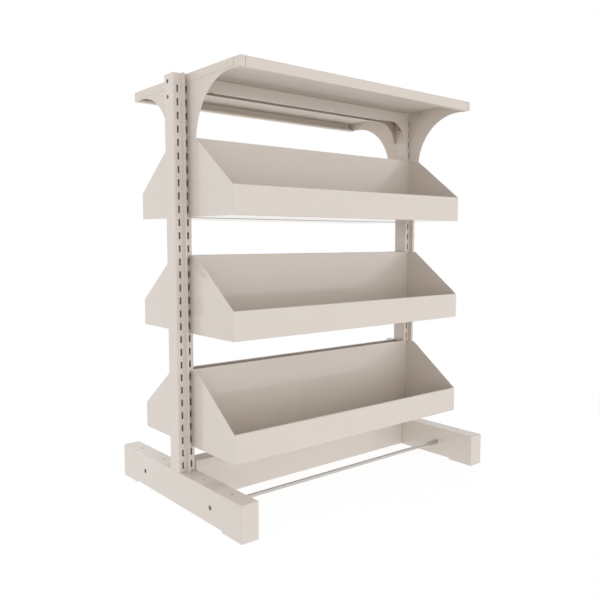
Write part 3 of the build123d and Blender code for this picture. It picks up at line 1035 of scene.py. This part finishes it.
@dataclass
class LevellingGlides:
    """Glides under the feet: a fluted pad, a hex collar and a threaded stud."""

    pad_dia: float = PAD_HIGH_END[0] - PAD_LOW_END[0]
    pad_height: float = 7.0 * MM
    pad_taper: float = 1.2 * MM
    flute: float = 1.1 * MM
    flutes: int = 28
    collar_flats: float = 17.0 * MM
    collar_height: float = 6.0 * MM
    thread_dia: float = 10.0 * MM
    thread_depth: float = 0.62 * MM
    thread_pitch: float = 1.5 * MM
    stud_length: float = 40.0 * MM
    across: float = (PAD_HIGH_END[0] + PAD_LOW_END[0]) / 2
    along: float = (PAD_HIGH_END[1] + PAD_LOW_END[1]) / 2
    weld_gap: float = WELD_GAP * 10
    rim_sides: int = 112
    flute_sides: int = 12
    core_sides: int = 24
    turn_steps: int = 20
    ridge_sides: int = 4

    def pad(self, bench: GeometryBench) -> Socket:
        """Make the pad: a tapered disc with flutes round its rim.

        Args:
            bench: The bench of the tree.

        Returns:
            The pad standing on the floor.
        """
        radius = bench.half(bench.size("Pad Diameter", self.pad_dia))
        tall = bench.size("Pad Height", self.pad_height)
        taper = bench.size("Pad Taper", self.pad_taper)
        small = bench.sum("SUBTRACT", radius, taper)
        foot = bench.cone(self.rim_sides, small, radius, taper)
        drum = bench.bar(self.rim_sides, radius, bench.sum("SUBTRACT", tall, bench.twice(taper)))
        crown = bench.cone(self.rim_sides, radius, small, taper)
        stack = bench.joined(foot, bench.lifted(drum, bench.half(tall)),
                             bench.lifted(crown, bench.sum("SUBTRACT", tall, taper)))
        weld = bench.shape("GeometryNodeMergeByDistance", Geometry=stack, Distance=self.weld_gap)
        spots = bench.shape("GeometryNodeMeshCircle", Radius=radius,
                            Vertices=bench.size("Flutes", self.flutes))
        cutter = bench.bar(self.flute_sides, bench.size("Flute Radius", self.flute),
                           bench.sum("MULTIPLY", tall, 3.0))
        ring = bench.shape("GeometryNodeInstanceOnPoints", Points=spots.outputs["Mesh"],
                           Instance=cutter)
        flutes = bench.shape("GeometryNodeRealizeInstances", Geometry=ring.outputs[0])
        return bench.cut("DIFFERENCE", weld.outputs[0], flutes.outputs[0])

    def stud(self, bench: GeometryBench) -> Socket:
        """Make the hex collar and the threaded stud above it.

        Args:
            bench: The bench of the tree.

        Returns:
            The stud standing on the floor's level, clear of the pad.
        """
        flats = bench.size("Collar Flats", self.collar_flats)
        high = bench.size("Collar Height", self.collar_height)
        base = bench.size("Pad Height", self.pad_height)
        collar = bench.lifted(bench.hex_bar(flats, high), bench.sum("ADD", base, bench.half(high)))
        depth = bench.size("Thread Depth", self.thread_depth)
        outer = bench.half(bench.size("Thread Diameter", self.thread_dia))
        root = bench.sum("SUBTRACT", outer, depth)
        long = bench.size("Stud Length", self.stud_length)
        start = bench.sum("ADD", base, high)
        core = bench.lifted(bench.bar(self.core_sides, root, long),
                            bench.sum("ADD", start, bench.half(long)))
        pitch = bench.size("Thread Pitch", self.thread_pitch)
        run = bench.sum("SUBTRACT", long, bench.twice(pitch))
        spiral = bench.shape("GeometryNodeCurveSpiral", Resolution=self.turn_steps,
                             Rotations=bench.sum("DIVIDE", run, pitch), Start_Radius=root,
                             End_Radius=root, Height=run)
        ridge = bench.shape("GeometryNodeCurvePrimitiveCircle", Resolution=self.ridge_sides,
                            Radius=depth)
        thread = bench.shape("GeometryNodeCurveToMesh", Curve=spiral.outputs[0],
                             Profile_Curve=ridge.outputs[0], Fill_Caps=True)
        return bench.joined(collar, core, bench.lifted(thread.outputs[0],
                                                       bench.sum("ADD", start, pitch)))

    def build(self) -> None:
        """Make and fit the four glides."""
        for end in End:
            for side in Side:
                where = "%s_%s" % (end.word, side.word)
                place = Matrix.Translation((end.value * self.across, side.value * self.along, 0.0))
                parts = (("pad", self.pad, PAD_PLASTIC, Slot.PAD),
                         ("stud", self.stud, ZINC, Slot.ZINC))
                for word, make, finish, slot in parts:
                    bench = GeometryBench("glide_%s_%s" % (word, where))
                    mesh = bench.grow(make(bench), finish)
                    mesh.transform(place)
                    fit_piece("levelling_%s_%s" % (word, where), mesh, finish,
                              ("glide_%s_%s" % (word, where),))


@dataclass
class TieRods:
    """Drawn rods between the feet and the turned sleeves at their ends."""

    dia: float = 10.0 * MM
    sleeve_dia: float = 13.0 * MM
    sleeve_length: float = 41.0 * MM
    sleeve_bore: float = 10.2 * MM
    bolt_bore: float = 8.2 * MM
    rod_depth: float = 25.0 * MM
    chamfer: float = 0.7 * MM
    facets: int = 48

    def turned(self, profile: Sequence[Span], y: float) -> Mesh:
        """Turn a closed profile round a line along X.

        Args:
            profile: Places along X with their radii. A radius of zero closes on the axis.
            y: Where the axis lies across the unit.

        Returns:
            The turned mesh.
        """
        work = bmesh.new()
        verts = [work.verts.new((x, y, ROD_RISE + radius)) for x, radius in profile]
        loop = verts + ([] if profile[0][1] == 0.0 else [verts[0]])
        edges = [work.edges.new(pair) for pair in zip(loop, loop[1:])]
        bmesh.ops.spin(work, geom=[*verts, *edges], cent=(0.0, y, ROD_RISE), axis=(1.0, 0.0, 0.0),
                       angle=math.tau, steps=self.facets, use_merge=True)
        bmesh.ops.remove_doubles(work, verts=work.verts, dist=WELD_GAP)
        bmesh.ops.recalc_face_normals(work, faces=work.faces)
        mesh = bpy.data.meshes.new("turned")
        work.to_mesh(mesh)
        work.free()
        return shaded(mesh)

    def sleeve_profile(self, end: End) -> list[Span]:
        """Outline a sleeve from the foot's wall inwards and back through its bores.

        Args:
            end: The end of the unit that the sleeve is at.

        Returns:
            Places along X with their radii.
        """
        wide, rim, bore = self.sleeve_dia / 2, self.sleeve_bore / 2, self.bolt_bore / 2
        cut, back_cut, rim_cut = self.chamfer, self.chamfer / 2, self.chamfer / 3
        wall, mouth = FOOT_INNER, FOOT_INNER - self.sleeve_length
        step = mouth + self.rod_depth
        outline = [(wall, bore), (wall, wide - back_cut), (wall - back_cut, wide),
                   (mouth + cut, wide), (mouth, wide - cut), (mouth, rim + rim_cut),
                   (mouth + rim_cut, rim), (step, rim), (step, bore)]
        return [(end.value * x, radius) for x, radius in outline]

    def build(self) -> None:
        """Make and fit the rods and their sleeves."""
        half = FOOT_INNER - self.sleeve_length + self.rod_depth
        for side in Side:
            y, wide, cut = side.value * ROD_ROW, self.dia / 2, self.chamfer
            rod = self.turned([(-half, 0.0), (-half, wide - cut), (-half + cut, wide),
                               (half - cut, wide), (half, wide - cut), (half, 0.0)], y)
            fit_piece("drawn_rod_%s" % side.word, rod, ROD_STEEL,
                      ("tie_rod_%s" % side.word,))
        work = bmesh.new()
        for end in End:
            for side in Side:
                part = self.turned(self.sleeve_profile(end), side.value * ROD_ROW)
                work.from_mesh(part)
                bpy.data.meshes.remove(part)
        mesh = bpy.data.meshes.new("sleeves")
        work.to_mesh(mesh)
        work.free()
        fit_piece("turned_rod_sleeves", shaded(mesh), SLEEVE_STEEL, ("tie_rod_sleeves",))


def dress_nodes() -> None:
    """Give every CAD node the finish of its record slot, and the webs the inside finish, whose
    colour is painted light.
    """
    slots = {part["node"]: Slot(part["material_slot"]) for part in frame["record"]["subparts"]}
    for name, node in frame["nodes"].items():
        # Webs get the inside finish, whose colour is painted light in the shade they stand in.
        finish = THIN_COAT_AND_PAINTED_LIGHT if name.endswith("_web") else SLOT_FINISH[slots[name]]
        node.data.materials.clear()
        node.data.materials.append(finish.material())
        LOG.info("dressed %s with %s", name, finish.name)


@dataclass(frozen=True)
class Softbox:
    """A rectangular soft lamp, set out by its direction seen from the unit."""

    name: str
    turn: float
    size: Span
    power: float
    rise: float = 4.0
    reach: float = 8.0
    height: float = 0.5

    def placing(self) -> Matrix:
        """Aim the lamp at the unit's middle.

        Returns:
            The lamp's place and turn.
        """
        turn, rise = math.radians(self.turn), math.radians(self.rise)
        out = Vector((math.cos(rise) * math.sin(turn), -math.cos(rise) * math.cos(turn),
                      math.sin(rise)))
        place = Vector((0.0, 0.0, self.height)) + out * self.reach
        return Matrix.Translation(place) @ out.to_track_quat("Z", "Y").to_matrix().to_4x4()

    def hang(self) -> None:
        """Hang the lamp in the scene, where no gloss mirrors it."""
        light = bpy.data.lights.new(self.name, "AREA")
        light.shape = "RECTANGLE"
        light.size, light.size_y = self.size
        light.energy = self.power
        stand = stood(self.name, light)
        stand.matrix_world = self.placing()
        stand.visible_glossy = False


@dataclass(frozen=True)
class FloorGlow(Softbox):
    """A soft lamp that lies under the floor and faces up, as light from a white floor."""

    reach: float = 4.0
    height: float = -0.6

    def placing(self) -> Matrix:
        """Lay the lamp under the floor.

        Returns:
            The lamp's place and turn.
        """
        turn = math.radians(self.turn)
        place = Vector((math.sin(turn) * self.reach, -math.cos(turn) * self.reach, self.height))
        face_up = Matrix.Rotation(math.pi, 4, "X")
        return Matrix.Translation(place) @ Matrix.Rotation(turn, 4, "Z") @ face_up


WIDE, SQUARE, STRIP, TABLE = (5.3, 4.0), (4.9, 4.9), (7.0, 4.0), (4.0, 4.0)

SOFTBOXES: tuple[Softbox, ...] = (
    Softbox("front_bank", 0.0, WIDE, 55.8),
    Softbox("front_right_bank", 45.0, WIDE, 90.0),
    Softbox("right_bank", 90.0, WIDE, 90.0),
    Softbox("back_bank", 180.0, WIDE, 90.0),
    Softbox("back_left_bank", 225.0, WIDE, 81.4),
    Softbox("front_left_bank", 315.0, WIDE, 65.0),
    Softbox("high_back_bank", 180.0, SQUARE, 73.2, rise=50.0),
    Softbox("high_left_bank", 240.0, SQUARE, 64.5, rise=50.0),
    FloorGlow("front_floor_glow", 0.0, STRIP, 30.7),
    FloorGlow("back_floor_glow", 180.0, STRIP, 130.3),
    FloorGlow("table_glow", 0.0, TABLE, 14.0, reach=0.0, height=-1.2))


@dataclass
class Studio:
    """White table top, soft lamps and the picture's camera."""

    eye: Place = (-1.2597, -1.4954, 0.6734)
    look: Place = (0.63364, 0.76854, -0.08855)
    focal_pixels: float = 678.73
    frame_pixels: float = 600.0
    sensor: float = 36.0
    sight: Span = (0.05, 60.0)
    even_light: float = 0.641
    floor_half: float = 14.0
    floor_drop: float = 0.0002
    floor_glow: float = 0.93
    shadow_share: float = 0.1
    shadow_reach: Span = (0.6, 1.7)

    def camera(self) -> None:
        """Place the camera at the picture's standpoint."""
        lens = bpy.data.cameras.new("picture_camera")
        lens.sensor_width = self.sensor
        lens.sensor_fit = "HORIZONTAL"
        lens.lens = self.sensor * self.focal_pixels / self.frame_pixels
        lens.clip_start, lens.clip_end = self.sight
        stand = stood("picture_camera", lens)
        turn = Vector(self.look).to_track_quat("-Z", "Y").to_matrix().to_4x4()
        stand.matrix_world = Matrix.Translation(Vector(self.eye)) @ turn
        bpy.context.scene.camera = stand

    def seen_or_mirrored(self, bench: NodeBench) -> Socket:
        """Tell rays that show the background from rays that light the object.

        Args:
            bench: The bench of the tree.

        Returns:
            One for camera, glossy and transmission rays, otherwise zero.
        """
        rays = bench.add("ShaderNodeLightPath").outputs
        seen = bench.sum("MAXIMUM", rays["Is Camera Ray"], rays["Is Glossy Ray"])
        return bench.sum("MAXIMUM", seen, rays["Is Transmission Ray"])

    def world(self) -> None:
        """Light the scene evenly, with a white background for camera and gloss."""
        world = bpy.data.worlds.new("white_studio")
        bpy.context.scene.world = world
        world.use_nodes = True
        bench = NodeBench(world.node_tree)
        even, white = (bench.shape("ShaderNodeBackground", Strength=light, Color=(*WHITE, 1.0))
                       for light in (self.even_light, 1.0))
        choice = bench.mixed(self.seen_or_mirrored(bench), even, white)
        bench.shape("ShaderNodeOutputWorld", Surface=choice.outputs[0])

    def floor_finish(self) -> bpy.types.Material:
        """Make the white table top: lit from below, with a faint shadow round the feet.

        Returns:
            The floor's material.
        """
        paper = bpy.data.materials.new("floor_paper")
        paper.use_nodes = True
        bench = NodeBench(paper.node_tree)
        faint = bench.shape("ShaderNodeBsdfDiffuse", Color=(*scaled(WHITE, self.shadow_share), 1.0))
        glow, white = (bench.shape("ShaderNodeEmission", Strength=light)
                       for light in (self.floor_glow, 1.0))
        shadowed = bench.add("ShaderNodeAddShader")
        bench.wire(faint.outputs[0], shadowed.inputs[0])
        bench.wire(glow.outputs[0], shadowed.inputs[1])
        reach = bench.add("ShaderNodeVectorMath", operation="LENGTH")
        bench.wire(bench.add("ShaderNodeTexCoord").outputs["Object"], reach.inputs[0])
        away = bench.spread(reach.outputs["Value"], self.shadow_reach)
        choice = bench.mixed(self.seen_or_mirrored(bench), bench.add("ShaderNodeBsdfTransparent"),
                             bench.mixed(away, shadowed, white))
        bench.shape("ShaderNodeOutputMaterial", Surface=choice.outputs[0])
        return paper

    def floor(self) -> None:
        """Lay the floor."""
        mesh = bpy.data.meshes.new("studio_floor")
        half, low = self.floor_half, -self.floor_drop
        corners = [(-half, -half, low), (half, -half, low), (half, half, low), (-half, half, low)]
        mesh.from_pydata(corners, [], [(0, 1, 2, 3)])
        mesh.materials.append(self.floor_finish())
        sheet = stood("studio_floor", mesh)

    def build(self) -> None:
        """Set up the whole studio."""
        self.camera()
        self.floor()
        self.world()
        for box in SOFTBOXES:
            box.hang()
        bpy.context.scene.view_settings.view_transform = "Standard"


def main() -> None:
    """Build the unit's pieces and the studio in order."""
    logging.basicConfig(level=logging.INFO, format="%(name)s %(message)s")
    dress_nodes()
    bins = ["bin_%s_%d" % (side.word, tier) for side in Side for tier in (1, 2, 3)]
    makers = (
        SheetWork(tuple("post_%s_%s_channel" % (end.word, half)
                        for end in End for half in ("outer", "inner")), FRAME_COAT, Slot.FRAME,
                  hollows=Hollows().posts()),
        # The crossbeam's inside finish is painted shade in its channel and gusset pocket.
        SheetWork(("top_crossbeam",), FRAME_COAT, Slot.FRAME, inside=BEAM_PAINTED_SHADE_COAT,
                  hollows=Hollows().beam()),
        SheetWork(("post_left_spigot", "post_right_spigot", "foot_left", "foot_right",
                   "base_crossbeam"), FRAME_COAT, Slot.FRAME),
        SheetWork(("post_left_cap", "post_right_cap"), CAP_PLASTIC, Slot.CAP, roll=0.6 * MM),
        SheetWork(tuple("%s_%s" % (name, part) for name in bins
                        for part in ("trough", "end_left", "end_right")), BIN_COAT, Slot.BIN),
        SheetWork(tuple("canopy_%s_%s" % (side.word, part) for side in Side
                        for part in ("tray", "bracket_left", "bracket_right")),
                  CANOPY_COAT, Slot.CANOPY),
        CrossbeamBolts(), CanopyScrews(), LevellingGlides(), TieRods())
    for maker in makers:
        maker.build()
    Studio().build()


if __name__ == "__main__":
    main()
